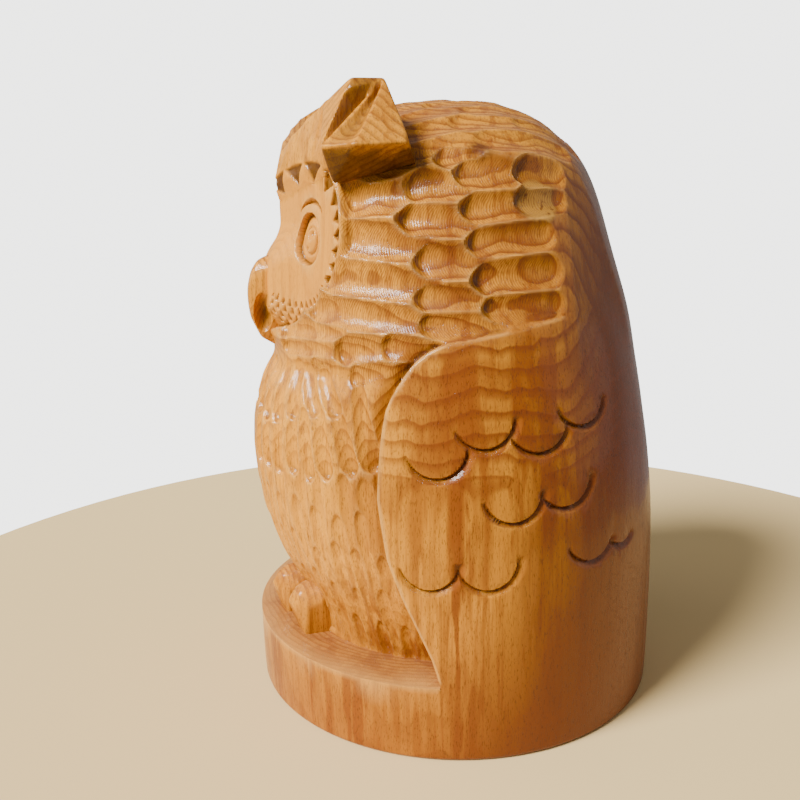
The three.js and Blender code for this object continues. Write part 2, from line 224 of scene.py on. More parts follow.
# Attributes of the mesh: distance along a gouge cut in mm, how much that gouge chattered, lighter edges
# (wear, and a painted highlight), painted shade in the hollows and under the tufts, and the painted sheen of
# the face
MARKS = ("run", "chatter", "wear_and_highlight", "painted_shade", "pale")


# Properties

def length(name, description, millimetres, **limits):
    """Property that holds a length, with its default in millimetres."""
    return bpy.props.FloatProperty(
        name=name, description=description, default=millimetres * MM, unit="LENGTH", precision=5, **limits)


def colour(name, description, value):
    """Property that holds a colour, as an sRGB hex value."""
    return bpy.props.StringProperty(name=name, description=description, default=value)


class OwlSizes(bpy.types.PropertyGroup):
    """Sizes of the carving that a user would change."""

    mesh_step: length("Mesh step", "Distance between the points of the carved surface", 0.42, min=0.2 * MM)
    triangles: bpy.props.IntProperty(
        name="Triangles", description="Triangles left on the finished carving", default=198000, min=10000)
    ledge_height: length("Ledge height", "Height of the ledge that the feet stand on", 22.7)
    edge_round: length("Foot edge", "Rounding of the lower edge", 1.5)
    gouge_radius: length("Gouge radius", "Radius of the gouge that cut the head and the chest", 7.7)
    head_depth: length("Head cut depth", "Depth of a cut of the head at its deep end", 3.3)
    flute_depth: length("Flute depth", "Depth of the flutes of the chest", 1.9)
    mark_depth: length("Mark depth", "Depth of the feather marks below the flutes", 0.9)
    arc_depth: length("Arc depth", "Depth of the feather arcs of the wings", 1.5)
    ring_width: length("Ring width", "Distance between growth rings", 1.7)
    lens: bpy.props.FloatProperty(
        name="Lens", description="Focal length of the camera", default=38.7, subtype="DISTANCE_CAMERA")


class OwlColours(bpy.types.PropertyGroup):
    """Colours of the wood, of the light and shade painted on it, and of the studio, as sRGB hex values."""

    early_wood: colour("Early wood", "Golden wood between the ring lines", "BC791B")
    late_wood: colour("Late wood", "Darker line of each growth ring", "743810")
    amber_wood: colour("Amber wood", "Browner tongues along the grain", "84440F")
    # Dark heartwood, and painted shade on the back, on the side away from the window and low down
    heart_wood_and_shade: colour("Heart wood", "Dark red-brown wood of the log's back", "6A3414")
    pore: colour("Pores", "Pores along the grain", "3A1805")
    # Painted shade: dark colour put in the hollows, the cuts and under the tufts, where shade falls
    hollow_shade: colour("Pooled stain", "Stain that gathered in the hollows", "301306")
    # Wear on the edges, and a painted highlight on the ledge's rim and on the ridges of the cuts
    worn_and_lit: colour("Worn edges", "Edges with less stain", "DCA458")
    # Painted sheen: the window's glare on the face, put into its colour
    face_sheen: colour("Face", "Pale planed wood of the face", "DE922E")
    # Golden flames along the grain, and painted light on the head above the wings
    golden_and_lit: colour("Golden wood", "Light flames along the grain, low on the log", "D68E26")
    # Painted light: the chest and the brow made lighter, as the window falls on them
    lit_front: colour("Front", "Lighter wood of the chest and the brow", "EA9E28")
    end_grain: colour("End grain", "Greyer wood where the grain is cut across", "8E5E38")
    knot: colour("Knots", "Specks of knots", "4A1C06")
    sap_wood: colour("Sap wood", "Pale wood of the knot behind the head's side", "C8963C")
    floor: colour("Floor", "Floor of the studio", "DDBE84")


# Outline and frame of the log

def smooth_table(table, count):
    """Smooth curve through the rows of a table, sampled evenly in row number.

    Between two rows it is a cubic, whose slope at each row is half the step between that row's neighbours.
    """
    table = np.asarray(table, float)
    last = len(table) - 1
    place = np.linspace(0, last, count)
    k = np.minimum(place.astype(int), last - 1)
    u = (place - k)[:, None]
    a, b, c, d = (table[np.clip(k + i, 0, last)] for i in (-1, 0, 1, 2))
    square = 2 * a - 5 * b + 4 * c - d
    cube = 3 * b - a - 3 * c + d
    return 0.5 * (2 * b + (c - a) * u + square * u ** 2 + cube * u ** 3)


LOG = smooth_table(LOG_PROFILE, 4001)
CHEST = smooth_table(CHEST_PROFILE, 801)


def unit(vectors):
    """Vectors divided by their lengths."""
    return vectors / np.maximum(np.linalg.norm(vectors, axis=-1, keepdims=True), 1e-9)


def section(angle, front, side, back):
    """Point of a section of the log: half an ellipse to the front and half of another to the back."""
    reach = np.where(np.cos(angle) > 0, front, back)
    return np.stack([side * np.sin(angle), -reach * np.cos(angle)], -1)


def log_point(degrees, height):
    """Points of the uncarved log at angles from the front and heights."""
    degrees, height = np.broadcast_arrays(np.asarray(degrees, float), np.asarray(height, float))
    front, side, back = (np.interp(height, LOG[:, 0], LOG[:, k]) for k in (1, 2, 3))
    flat = section(np.radians(degrees), front, side, back)
    return np.concatenate([flat, height[..., None]], -1)


def log_normal(degrees, height):
    """Outward direction of the uncarved log, from the points a little round it and above it."""
    around = log_point(degrees + 0.5, height) - log_point(degrees - 0.5, height)
    above = log_point(degrees, height + 0.3) - log_point(degrees, height - 0.3)
    return unit(np.cross(around, above))


def row_point(turn, station):
    """Point of the log at a turn about the row axis and a distance along that axis."""
    along = np.array([0, math.cos(ROW_RISE), math.sin(ROW_RISE)])
    up = np.array([0, -math.sin(ROW_RISE), math.cos(ROW_RISE)])
    angle = math.radians(turn)
    out = math.cos(angle) * np.array([1.0, 0, 0]) + math.sin(angle) * up
    reach = np.linspace(0, 90, 1801)[:, None]
    line = ROW_AXIS + station * along + reach * out
    front, side, back = (np.interp(line[:, 2], LOG[:, 0], LOG[:, k], right=0.01) for k in (1, 2, 3))
    over = np.hypot(line[:, 0] / side, line[:, 1] / np.where(line[:, 1] < 0, front, back))
    last = np.argmax((over > 1) | (line[:, 2] > LOG[-1, 0]))
    return line[max(last - 1, 0)]


def waves(points, length, seed):
    """Smooth unevenness between -1 and 1: a sum of sine waves in seeded directions, of about that length."""
    chance = np.random.default_rng(seed)
    total = np.zeros(points.shape[:-1])
    for _ in range(7):
        direction = unit(chance.normal(size=3)) * chance.uniform(0.7, 1.5)
        total += np.sin(points @ direction * (2 * math.pi / length) + chance.uniform(0, 6.3))
    return total / 4


# Carved surface of the log

class Surface:
    """The log's surface on a grid of rows and columns, with how deep it is carved at each point.

    Rows follow the log's outline at even steps, and lie closer together across the ledge. Columns lie at
    angles from the front: evenly up to the seam beside a wing, evenly from there to SIDE_END, and wider
    apart round the back.
    """

    def __init__(self, sizes):
        step = sizes.mesh_step / MM
        ledge = sizes.ledge_height / MM
        traced = np.concatenate([[0], np.cumsum(np.hypot(np.diff(LOG[:, 0]), np.diff(LOG[:, 2])))])

        def at_height(height):
            return np.interp(height, LOG[:, 0], traced)

        foot = at_height(np.arange(FIRST_ROW, ledge - 0.9, FOOT_STEP))
        edge = at_height(np.linspace(ledge - 0.8, ledge + 0.3, LEDGE_ROWS))
        body = np.arange(at_height(ledge + 0.55), traced[-1] - 0.6 * step, step)
        rows = np.concatenate([foot, edge, body])
        self.ledge_rows = np.arange(LEDGE_ROWS) + len(foot)
        height, front, side, back = (np.interp(rows, traced, LOG[:, k])[:, None] for k in range(4))
        seam = np.interp(height, *zip(*SEAM))
        chest_end, fine, coarse = (round(width / (steps * step)) for width, steps in COLUMNS)
        columns = np.concatenate([
            seam * np.linspace(0, 1, chest_end + 1),
            seam + SEAM_GAP + (SIDE_END - seam - SEAM_GAP) * np.linspace(0, 1, fine),
            SIDE_END + (180 - SIDE_END) * np.linspace(0, 1, coarse + 1)[1:] + 0 * seam,
        ], 1)
        self.degrees = np.concatenate([-columns[:, :0:-1], columns[:, :-1]], 1)
        chest = np.arange(columns.shape[1]) <= chest_end
        self.chest = np.concatenate([chest[:0:-1], chest[:-1]])
        angle = np.radians(self.degrees)
        flat = section(angle, front, side, back)
        self.points = np.concatenate([flat, np.broadcast_to(height, angle.shape)[..., None]], -1)
        self.height = self.points[..., 2].copy()
        around = np.roll(self.points, -1, 1) - np.roll(self.points, 1, 1)
        above = np.gradient(self.points, axis=0)
        self.outward = unit(np.cross(around, above))
        self.depth = np.zeros(angle.shape)
        self.run = np.zeros(angle.shape)
        # Painted sheen of the face, and painted shade in the cuts, the hollows and under the tufts, each from
        # 0 to 1
        self.pale = np.zeros(angle.shape)
        self.painted_shade = np.zeros(angle.shape)
        self.tops = self.height.min(1)

    def rows_near(self, height, reach):
        """Rows within a distance of a height."""
        first, last = np.searchsorted(self.tops, (height - reach, height + reach))
        return slice(max(first, 0), max(last, 1))

    def gouge(self, start, end, outward, radius, deep, shallow, nose, curl, into):
        """Deepens the surface by one cut of a gouge.

        The floor runs from the deep to the shallow depth, less v*v / (2 radius) across it. Its start is
        rounded: there u counts from v*v / (2 curl) on, and up to the end of the nose the floor comes down
        steeply, as deep * (ahead / nose)^2. Past its end it runs out, as shallow * (past / RUN_OUT)^2.
        """
        along = unit(end - start)
        across = np.cross(outward, along)
        long = np.linalg.norm(end - start)
        middle = (start + end) / 2
        part = self.rows_near(middle[2], long / 2 + GOUGE_REACH)
        offset = self.points[part] - start
        u, v = offset @ along, offset @ across
        near = (np.abs(u - long / 2) < long / 2 + GOUGE_REACH) & (np.abs(v) < GOUGE_REACH)
        near &= self.outward[part] @ outward > 0.3
        u, v = u[near], v[near]
        lag = u - v ** 2 / (2 * curl)
        floor = deep + (shallow - deep) * np.clip(u / long, 0, 1)
        ahead = np.clip(nose - lag, 0, None)
        past = np.clip(u - long, 0, None)
        depth = floor - v ** 2 / (2 * radius) - deep * (ahead / nose) ** 2 - shallow * (past / RUN_OUT) ** 2
        view = into[part]
        wins = depth > view[near]
        view[near] = np.maximum(view[near], depth)
        run = self.run[part]
        run[near] = np.where(wins, lag, run[near])


def edge_distance(points, edge, outward):
    """Distance to a curve on the surface, more than zero to the left of its direction seen from outside."""
    best = np.full(len(points), 1e9)
    signed = np.zeros(len(points))
    for start, end in zip(edge[:-1], edge[1:]):
        along = end - start
        offset = points - start
        t = np.clip(offset @ along / (along @ along), 0, 1)
        away = offset - t[:, None] * along
        far = np.linalg.norm(away, axis=1)
        left = np.einsum("ij,ij->i", np.cross(outward, along), away)
        closer = far < best
        best[closer] = far[closer]
        signed[closer] = (np.sign(left) * far)[closer]
    return signed


def ramp(distance, width):
    """0 to 1 across a line, over a width, with round ends: t * t * (3 - 2 * t)."""
    t = np.clip(distance / width + 0.5, 0, 1)
    return t * t * (3 - 2 * t)


def cut_chest(surface, sizes):
    """Cuts the chest back between the wings, with a hollow beside each foot.

    Its reach goes from the middle to a wing's edge as the square of the share of the way. A hollow is
    NEST_DEPTH * exp(-(turn / 13)^2) * exp(-(height / 10)^2), from a place just outside the foot.
    """
    middle, edge = (np.interp(surface.height, CHEST[:, 0], CHEST[:, k]) for k in (1, 2))
    ledge_height = sizes.ledge_height / MM
    seam = np.interp(surface.height, *zip(*SEAM))
    share = np.abs(surface.degrees) / seam
    reach = middle + (edge - middle) * np.clip(share, 0, 1.2) ** 2
    here = np.hypot(surface.points[..., 0], surface.points[..., 1])
    depth = np.clip(here - reach, 0, None)
    depth[surface.height < ledge_height] = 0
    depth[:, ~surface.chest] = 0
    above = surface.height > 104
    depth[above] *= ramp(119 - surface.height[above], 6)
    for x, y, z in FEET:
        beside = (surface.degrees - math.degrees(math.atan2(x, -y)) - 5) / NEST_REACH[0]
        upward = (surface.height - z - 2) / NEST_REACH[1]
        nest = NEST_DEPTH * np.exp(-beside ** 2) * np.exp(-upward ** 2)
        depth += nest * ramp(surface.height - ledge_height - 1, 2) * surface.chest
    rows = surface.ledge_rows[2:]
    ledge = surface.chest[None, :] & (np.abs(surface.degrees[rows]) < 90)
    full = np.broadcast_to(depth[rows[-1] + 1], ledge.shape)
    share = np.linspace(0, 1, len(rows))[:, None]
    depth[rows] = np.where(ledge, full * share, depth[rows])
    surface.points[rows, :, 2] = np.where(ledge, ledge_height, surface.points[rows, :, 2])
    return depth


def cut_head(surface, sizes, chance):
    """Gouge cuts of the head, one row above another, each cut biting into the end of the one before."""
    cuts = np.zeros(surface.depth.shape)
    radius, deep = sizes.gouge_radius / MM, sizes.head_depth / MM
    for side in SIDES:
        mirror = MIRROR[side]
        for low, high, stations in CROWN_ROWS:
            turn = (low + high) / 2
            for first, last in zip(stations[:-1], stations[1:]):
                shift = chance.uniform(-0.8, 0.8, 5)
                start = row_point(turn + shift[0], first - 2 + shift[1])
                end = row_point(turn + shift[2], last + 3 + shift[3])
                outward = np.cross(end - start, row_point(turn + 3, first) - row_point(turn - 3, first))
                floor = deep * (0.6 + 0.08 * shift[4])
                surface.gouge(start * mirror, end * mirror, unit(outward) * mirror, 1.15 * radius, floor,
                              0.6 * floor, 6, 4, cuts)
        for start, end, wide in HEAD_CUTS:
            shift = chance.uniform(-0.4, 0.4, 5) * (1 if side > 0 else 2)
            first = log_point(side * (start[0] + 0.6 * shift[0]), start[1] + shift[1])
            last = log_point(side * (end[0] + 1.5 + shift[2]), end[1] + shift[3])
            outward = log_normal(side * (start[0] + end[0]) / 2, (start[1] + end[1]) / 2)
            bend = radius * wide / 10.5
            floor = deep * (0.6 + 0.45 * min(wide / 10, 1)) + 0.6 * shift[4]
            surface.gouge(first, last, outward, bend, floor, 0.5 * floor, 3.2, 4.4 * wide / 10, cuts)
    return np.maximum(cuts, 0)


def cut_chest_feathers(surface, sizes, chance):
    """Flutes at the top of the chest, deepest where they stop, and pointed feather marks set like tiles."""
    cuts = np.zeros(surface.depth.shape)
    radius = sizes.gouge_radius / MM
    flute, mark = sizes.flute_depth / MM, sizes.mark_depth / MM

    def stroke(side, deep_end, shallow_end, *form):
        shift = chance.uniform(-0.6, 0.6, 4)
        ends = [
            log_point(side * (degrees + shift[k]), height + shift[k + 2])
            for k, (degrees, height) in enumerate((deep_end, shallow_end))
        ]
        outward = log_normal(side * deep_end[0], (deep_end[1] + shallow_end[1]) / 2)
        surface.gouge(*ends, outward, *form, cuts)

    for side in SIDES:
        for top, bottom in CHEST_FLUTES:
            stroke(side, bottom, top, 0.4 * radius, flute, 0.6 * flute, 2.4, 2.2)
        for row, height in enumerate(MARK_ROWS):
            spread = MARK_SPREAD * (1 + 0.003 * (MARK_ROWS[0] - height))
            for k in range(MARKS_IN_ROW):
                degrees = spread * (k + (0.5 if row % 2 else 0.02)) + chance.uniform(-0.8, 0.8)
                if degrees < np.interp(height, *zip(*SEAM)) - 2.5:
                    deep_end = (degrees, height + chance.uniform(-1.5, 1.5))
                    shallow_end = (degrees * 1.04, height - MARK_LENGTH)
                    stroke(side, deep_end, shallow_end, 0.62 * radius, mark, 0.3 * mark, 2.0, 1.1)
    return np.maximum(cuts, 0)


def cut_wing(surface):
    """Groove along the edge of each wing, and the wing's rounded rim.

    The groove has a square wall on the wing's side. At a distance d from the edge it is
    2 * (1 - (d - 1.1) / 3.4)^1.5 deep, and less near its top and low down. The wing is cut by
    0.4 * (1 - d / 1.1)^2 beside it.
    """
    curve = smooth_table(WING_EDGE, 90)
    groove = np.zeros(surface.depth.shape)
    wing = np.zeros(surface.depth.shape)
    for side in SIDES:
        edge = log_point(side * curve[:, 0], curve[:, 1])
        turned = surface.degrees * side
        near = (turned > 40) & (turned < 125) & (surface.height > 18) & (surface.height < 140)
        height = surface.height[near]
        on_chest = surface.chest[np.nonzero(near)[1]]
        away = side * edge_distance(surface.points[near], edge, surface.outward[near])
        outside = np.where(on_chest & (height < 100), 1, ramp(away, 0.5))
        inside = np.where(height < 100, ~on_chest, ramp(-away, 0.5))
        fade = ramp(106 - turned[near], 14)
        floor = np.clip(1 - np.clip(away - 1.1, 0, None) / 3.4, 0, 1)
        deep = (0.3 + 0.7 * ramp(114 - height, 8)) * (0.4 + 0.6 * ramp(height - 72, 30))
        groove[near] = outside * fade * 2.0 * floor ** 1.5 * deep * (height > 22.9)
        wing[near] = inside
        rim = 0.4 * np.clip(1 - np.abs(away) / 1.1, 0, 1) ** 2
        surface.depth[near] += rim * inside * fade
    return groove, wing


def cut_arcs(surface, sizes):
    """Feather arcs of the wings: a square cut on the inner side of a circle, and a slope that runs out below.

    The circle passes through the arc's three points. The slope is full * (1 - d / wide) deep, with d the
    distance outside the circle and wide from 1.5 to 2.7 mm along the arc, and its ends fade.
    """
    total = np.zeros(surface.depth.shape)
    full = sizes.arc_depth / MM
    for side in SIDES:
        for tips in WING_ARCS:
            left, low, right = (log_point(side * degrees, height) for degrees, height in tips)
            outward = log_normal(side * tips[1][0], tips[1][1])
            across = unit(np.cross(np.array([0, 0, 1.0]), outward)) * side
            up = np.cross(outward, across) * side
            flat = np.array([[(p - low) @ across, (p - low) @ up] for p in (left, low, right)])
            gram = 2 * (flat[[0, 2]] - flat[1])
            centre = np.linalg.solve(gram, (flat[[0, 2]] ** 2).sum(1) - (flat[1] ** 2).sum())
            radius = np.hypot(*centre)
            part = surface.rows_near(low[2] + 5, 16)
            offset = surface.points[part] - low
            x, y = offset @ across - centre[0], offset @ up - centre[1]
            away = np.hypot(x, y) - radius
            swing = np.arctan2(x, -y)
            ends = [math.atan2(flat[k, 0] - centre[0], centre[1] - flat[k, 1]) for k in (0, 2)]
            fade = np.clip((swing - ends[0]) / 0.35, 0, 1) * np.clip((ends[1] - swing) / 0.3, 0, 1)
            fade = np.sqrt(fade) * np.where((swing > ends[0]) & (swing < ends[1]), 1, 0)
            wide = 1.5 + 1.2 * np.clip((swing - ends[0]) / (ends[1] - ends[0]), 0, 1)
            slope = np.clip(1 - away / wide, 0, 1) * ramp(away - 0.15, 0.5)
            facing = surface.outward[part] @ outward > 0.5
            total[part] = np.maximum(total[part], full * fade * slope * facing)
            # painted shade along the square cut of each arc
            line = 0.85 * fade * np.clip(1.15 - np.abs(away - 0.4) / 0.5, 0, 1) * facing
            surface.painted_shade[part] = np.maximum(surface.painted_shade[part], line)
    return total


def nape_flats(surface):
    """A long flat behind each side of the head, which fades out towards the wings.

    In the direction NAPE_TURN the log is cut back to 0.905 of its reach to the side, plus 2.2 mm.
    """
    total = np.zeros(surface.depth.shape)
    chord = np.interp(surface.height, LOG[:, 0], LOG[:, 2]) * 0.905 + 2.2
    for side in SIDES:
        direction = np.array([side * math.sin(NAPE_TURN), -math.cos(NAPE_TURN)])
        reach = surface.points[..., :2] @ direction
        depth = np.clip(reach - chord, 0, None) / np.maximum(surface.outward[..., :2] @ direction, 0.3)
        total += depth * ramp(surface.height - 118, 34) * ramp(166 - surface.height, 14)
    return total


def face_vectors(side):
    """Directions of one half of the face: outward along it, up it, and out of it.

    Its level line is turned back by FACE_TURN from the middle, and its other one leans back with FACE_LEAN.
    """
    along = np.array([side * math.cos(FACE_TURN), math.sin(FACE_TURN), 0])
    out = unit(np.cross(along, np.array([0, FACE_LEAN, 1.0])) * side)
    return along, np.cross(out, along) * side, out


def inside_outline(x, y, outline):
    """Distance to a closed outline in its plane, more than zero inside it."""
    best = np.full(x.shape, 1e9)
    inside = np.zeros(x.shape, bool)
    for (ax, ay), (bx, by) in zip(outline, np.roll(outline, -1, 0)):
        dx, dy = bx - ax, by - ay
        t = np.clip(((x - ax) * dx + (y - ay) * dy) / (dx * dx + dy * dy + 1e-12), 0, 1)
        best = np.minimum(best, np.hypot(x - ax - t * dx, y - ay - t * dy))
        if ay != by:
            inside ^= ((ay > y) != (by > y)) & (x < (y - ay) * dx / dy + ax)
    return np.where(inside, best, -best)


def face_detail(x, z):
    """Depth of what is cut into one half of the face, and its dashes alone as 0 to 1.

    The eye is a socket 1.9 mm deep round a ball, which lies 0.1 + 1.3 r^2 deep at the share r of its
    reach, with a ring for the iris, a pupil and a dot. The lid is an arc that tapers to its ends. The
    dashes stand in four tiers round the lower side of the disc, and widen outwards.
    """
    dx, dz = x - EYE[0], z - EYE[1]
    away = np.hypot(dx / 5.7, dz / 7.2)
    ball = np.hypot((dx - 0.5) / 4.8, (dz + 0.4) / 6.3)
    in_socket = ramp(1 - away, 0.07)
    socket = 1.9 * in_socket * ramp(ball - 1, 0.12)
    round_ball = (0.1 + 1.3 * ball ** 2) * in_socket
    iris = 0.6 * np.clip(1 - np.abs(ball - 0.6) / 0.11, 0, 1)
    pupil = 1.2 * np.clip(1.2 - np.hypot((dx - 0.7) / 1.2, (dz - 1.5) / 1.5), 0, 1)
    dot = 0.9 * np.clip(1.2 - np.hypot(dx + 0.9, dz + 2.6) / 0.9, 0, 1)
    depth = np.maximum(socket, round_ball + iris + pupil * ramp(0.9 - ball, 0.1))
    depth = np.maximum(depth, dot * in_socket)

    swing = np.degrees(np.arctan2(x - LID[0], z - LID[1]))
    taper = np.clip(1.15 - np.abs(swing) / 50, 0.02, 1)
    lid_place = np.abs(np.hypot(x - LID[0], z - LID[1]) - 7.5) / (0.9 * taper)
    lid = 1.3 * np.clip(1.3 - 1.3 * lid_place, 0, 1) * (np.abs(swing) < 54)
    depth = np.maximum(depth, lid)

    around = np.degrees(np.arctan2(x - DASH_MIDDLE[0], z - DASH_MIDDLE[1]))
    far = np.hypot(x - DASH_MIDDLE[0], (z - DASH_MIDDLE[1]) * 0.95)
    lower = (around > 132) | (around < -148)
    dashes = np.zeros(x.shape)
    for tier, reach in enumerate((15.6, 17.7, 19.8, 21.9)):
        beat = np.abs(((around / 7.2 + 0.5 * tier) % 1) - 0.5) * 2
        wide = np.clip(0.72 - 0.3 * (reach + 1 - far), 0.1, 0.8)
        dash = np.clip(1.4 - 1.4 * beat / wide, 0, 1)
        dash = dash * ramp(far - reach + 0.9, 0.4) * ramp(reach + 1 - far, 0.4)
        dashes = np.maximum(dashes, dash * lower)
    return np.maximum(depth, 0.95 * dashes), dashes


def face_place(points, side):
    """Distance along a half of the face, height on it and distance inside its outline, of points near it."""
    along, up = face_vectors(side)[:2]
    flat = points - FACE_RIDGE
    x, z = flat @ along, flat @ up + FACE_RIDGE[2]
    return x, z, inside_outline(x, z, smooth_table(FACE_OUTLINE, 60))


def chips(x, z, inside):
    """Row of triangles along the edge of a face, from 0 to 1 at their full depth, tips towards the eye.

    A triangle reaches inside by long * (1.08 - 1.1 * beat), with beat from 0 at its middle to 1 between two.
    """
    place = np.degrees(np.arctan2(x - CHIP_MIDDLE[0], z - CHIP_MIDDLE[1]))
    order = np.interp(place, CHIP_PLACES, np.arange(len(CHIP_PLACES)))
    beat = np.abs(order - np.round(order)) * 2
    edge = (place > -55) & (place < 126)
    long = np.interp(place, (-60, 30, 60, 120), (6, 5.6, 3.4, 2.6))
    return np.clip((long * (1.08 - 1.1 * beat) - inside) / 1.1, 0, 1) * ramp(inside - 0.2, 0.8) * edge


def cut_face(surface, depth):
    """Shapes the two halves of the face, with the eyes and the chips along the edge of the disc.

    Each half is a plane, with a cheek beside the beak that stands forward as 5 * exp(-((x - 6) / 9)^2)
    between the heights of the bridge of the nose and of the chin.
    """
    for side in SIDES:
        out = face_vectors(side)[2]
        near = (surface.degrees * side >= 0) & (surface.degrees * side < 52) & (surface.height > 108)
        near &= (surface.height < 172) & (surface.outward @ out > 0.25)
        points, outward = surface.points[near], surface.outward[near]
        facing = outward @ out
        plane = ((points - FACE_RIDGE) @ out) / facing
        x, z, inside = face_place(points - outward * plane[:, None], side)
        cheek = 5 * np.exp(-((x - 6) / 9) ** 2) * ramp(142 - z, 13) * ramp(z - 119.5, 9)
        bridge = 0.5 * np.exp(-(x / 7) ** 2) * np.exp(-((z - 146) / 6) ** 2)
        chip = chips(x, z, inside)
        detail, dashes = face_detail(x, z)
        detail = np.maximum(detail, 1.1 * chip)
        share = ramp(inside, 0.5)
        total = np.maximum(plane + (detail + bridge - cheek) / facing, -1.5)
        rim = ramp(inside + 2.2, 4) * (z > 119)
        outer = depth[near] + (np.minimum(depth[near], np.maximum(plane, 0) + 0.15) - depth[near]) * rim
        depth[near] = outer * (1 - share) + total * share
        surface.run[near] = np.where(inside > 0, 0, surface.run[near])
        # painted sheen of the window on the face, less in the chips
        surface.pale[near] = np.maximum(surface.pale[near], share * (1 - 0.6 * chip))
        # painted shade in the chips and the dashes
        surface.painted_shade[near] = np.maximum(surface.painted_shade[near], np.maximum(0.9 * chip, 0.45 * dashes) * share)
    return depth


def curved_marks(surface, depth):
    """Lighter edges (wear, and a painted highlight) and painted shade in the hollows, from how far each point
    lies below or above the mean of nine round it.
    """
    mean = np.zeros(depth.shape)
    for rows in (-2, 0, 2):
        for columns in (-2, 0, 2):
            mean += np.roll(depth, (rows, columns), (0, 1)) / 9
    hollow = depth - mean
    above_ledge = surface.height > 24.5
    # lighter ridges: partly wear, partly a painted highlight
    wear_and_highlight = np.clip((-hollow - 0.06) / 0.3, 0, 1) * above_ledge
    # painted highlight along the rounded rim of the ledge
    wear_and_highlight[surface.ledge_rows[1:4]] = surface.chest
    # painted shade: the hollows are darkened where shade falls in them
    hollow_shade = np.clip((hollow - 0.08) / 0.4, 0, 0.8) * above_ledge
    return {"wear_and_highlight": wear_and_highlight, "painted_shade": np.maximum(hollow_shade, surface.painted_shade), "pale": surface.pale}


# Meshes

def grid_mesh(name, rings, first, last, marks=()):
    """Closed mesh from rings of points, with a fan to a point at each end, and attributes from its marks."""
    count, around = rings.shape[:2]
    points = np.concatenate([first[None], rings.reshape(-1, 3), last[None]]) * MM
    ring, k = np.meshgrid(np.arange(count - 1), np.arange(around), indexing="ij")

    def at(row, column):
        return 1 + row * around + column % around

    quads = np.stack([at(ring, k), at(ring, k + 1), at(ring + 1, k + 1), at(ring + 1, k)], -1).reshape(-1, 4)
    k = np.arange(around)
    low = np.stack([k * 0, at(0, k + 1), at(0, k)], -1)
    high = np.stack([k * 0 + len(points) - 1, at(count - 1, k), at(count - 1, k + 1)], -1)
    corners = np.concatenate([quads.ravel(), low.ravel(), high.ravel()])
    totals = np.concatenate([np.full(len(quads), 4), np.full(2 * around, 3)])
    starts = np.concatenate([[0], np.cumsum(totals)[:-1]])
    mesh = bpy.data.meshes.new(name)
    mesh.vertices.add(len(points))
    mesh.vertices.foreach_set("co", points.astype(np.float32).ravel())
    mesh.loops.add(len(corners))
    mesh.loops.foreach_set("vertex_index", corners.astype(np.int32))
    mesh.polygons.add(len(totals))
    mesh.polygons.foreach_set("loop_start", starts.astype(np.int32))
    mesh.update(calc_edges=True)
    mesh.validate()
    marks = dict(marks)
    for key in MARKS:
        values = np.zeros(len(points), np.float32)
        if key in marks:
            values[1:-1] = marks[key].ravel()
        mesh.attributes.new(key, "FLOAT", "POINT").data.foreach_set("value", values)
    return mesh


def add_object(name, mesh):
    """Object of a mesh, at the origin, in the scene."""
    piece = bpy.data.objects.new(name, mesh)
    bpy.context.scene.collection.objects.link(piece)
    return piece


def hull_planes(points):
    """Outward directions and distances of the flats of the convex shape round some points."""
    shape = bmesh.new()
    for point in points:
        shape.verts.new(point)
    result = bmesh.ops.convex_hull(shape, input=shape.verts)
    faces = [item for item in result["geom"] if isinstance(item, bmesh.types.BMFace)]
    normals = np.array([list(face.normal) for face in faces])
    anchors = np.array([list(face.verts[0].co) for face in faces])
    shape.free()
    centre = np.mean(points, 0)
    reach = np.einsum("ij,ij->i", normals, anchors)
    flip = np.sign(reach - normals @ centre)
    return normals * flip[:, None], reach * flip


def carved_block(points, count, softness, hollow):
    """Solid with the flats of a convex shape, its edges eased.

    Rays leave the middle in the directions of a stretched sphere, and each stops at the nearest flat,
    by a soft least value: -log(sum(exp(-softness * distance))) / softness.
    """
    points = np.array(points, float)
    normals, reach = hull_planes(points)
    centre = points.mean(0)
    spread, axes = np.linalg.eigh(np.cov((points - centre).T))
    stretch = axes * np.sqrt(spread) * 2
    lat = np.linspace(0, math.pi, count + 2)[1:-1, None]
    lon = np.linspace(0, 2 * math.pi, 2 * count, endpoint=False)[None, :]
    ball = np.stack([np.sin(lat) * np.cos(lon), np.sin(lat) * np.sin(lon), np.cos(lat) + 0 * lon], -1)
    ball = np.concatenate([ball.reshape(-1, 3), [[0, 0, 1.0], [0, 0, -1.0]]])
    rays = ball @ stretch.T
    toward = rays @ normals.T
    share = np.where(toward > 1e-6, (reach - normals @ centre) / np.maximum(toward, 1e-6), 1e3)
    least = share.min(1, keepdims=True)
    soft = least[:, 0] - np.log(np.exp(-softness * (share - least)).sum(1)) / softness
    surface = centre + rays * soft[:, None]
    carved, marks = hollow(surface)
    surface = surface - carved
    rings = surface[:-2].reshape(count, 2 * count, 3)
    marks = {key: value[:-2].reshape(count, 2 * count) for key, value in marks.items()}
    if np.linalg.det(stretch) > 0:
        rings = rings[:, ::-1]
        marks = {key: value[:, ::-1] for key, value in marks.items()}
    return rings, surface[-2], surface[-1], marks


def groove_depth(points, start, end, outward, wide, depth, reach):
    """Groove with a round floor, on the side facing outward, that widens and deepens along its length.

    Across it the depth goes as (1 - (v / width)^2)^0.8.
    """
    start, end = np.array(start, float), np.array(end, float)
    along = unit(end - start)
    across = unit(np.cross(outward, along))
    long = np.linalg.norm(end - start)
    offset = points - start
    u, v = offset @ along, offset @ across
    share = np.clip(u / long, 0, 1)
    width = wide * (0.2 + 0.8 * share)
    floor = depth * (0.25 + 0.75 * share) * ramp(u, 3)
    near = np.abs(offset @ outward) < reach
    return floor * np.clip(1 - (v / width) ** 2, 0, 1) ** 0.8 * near


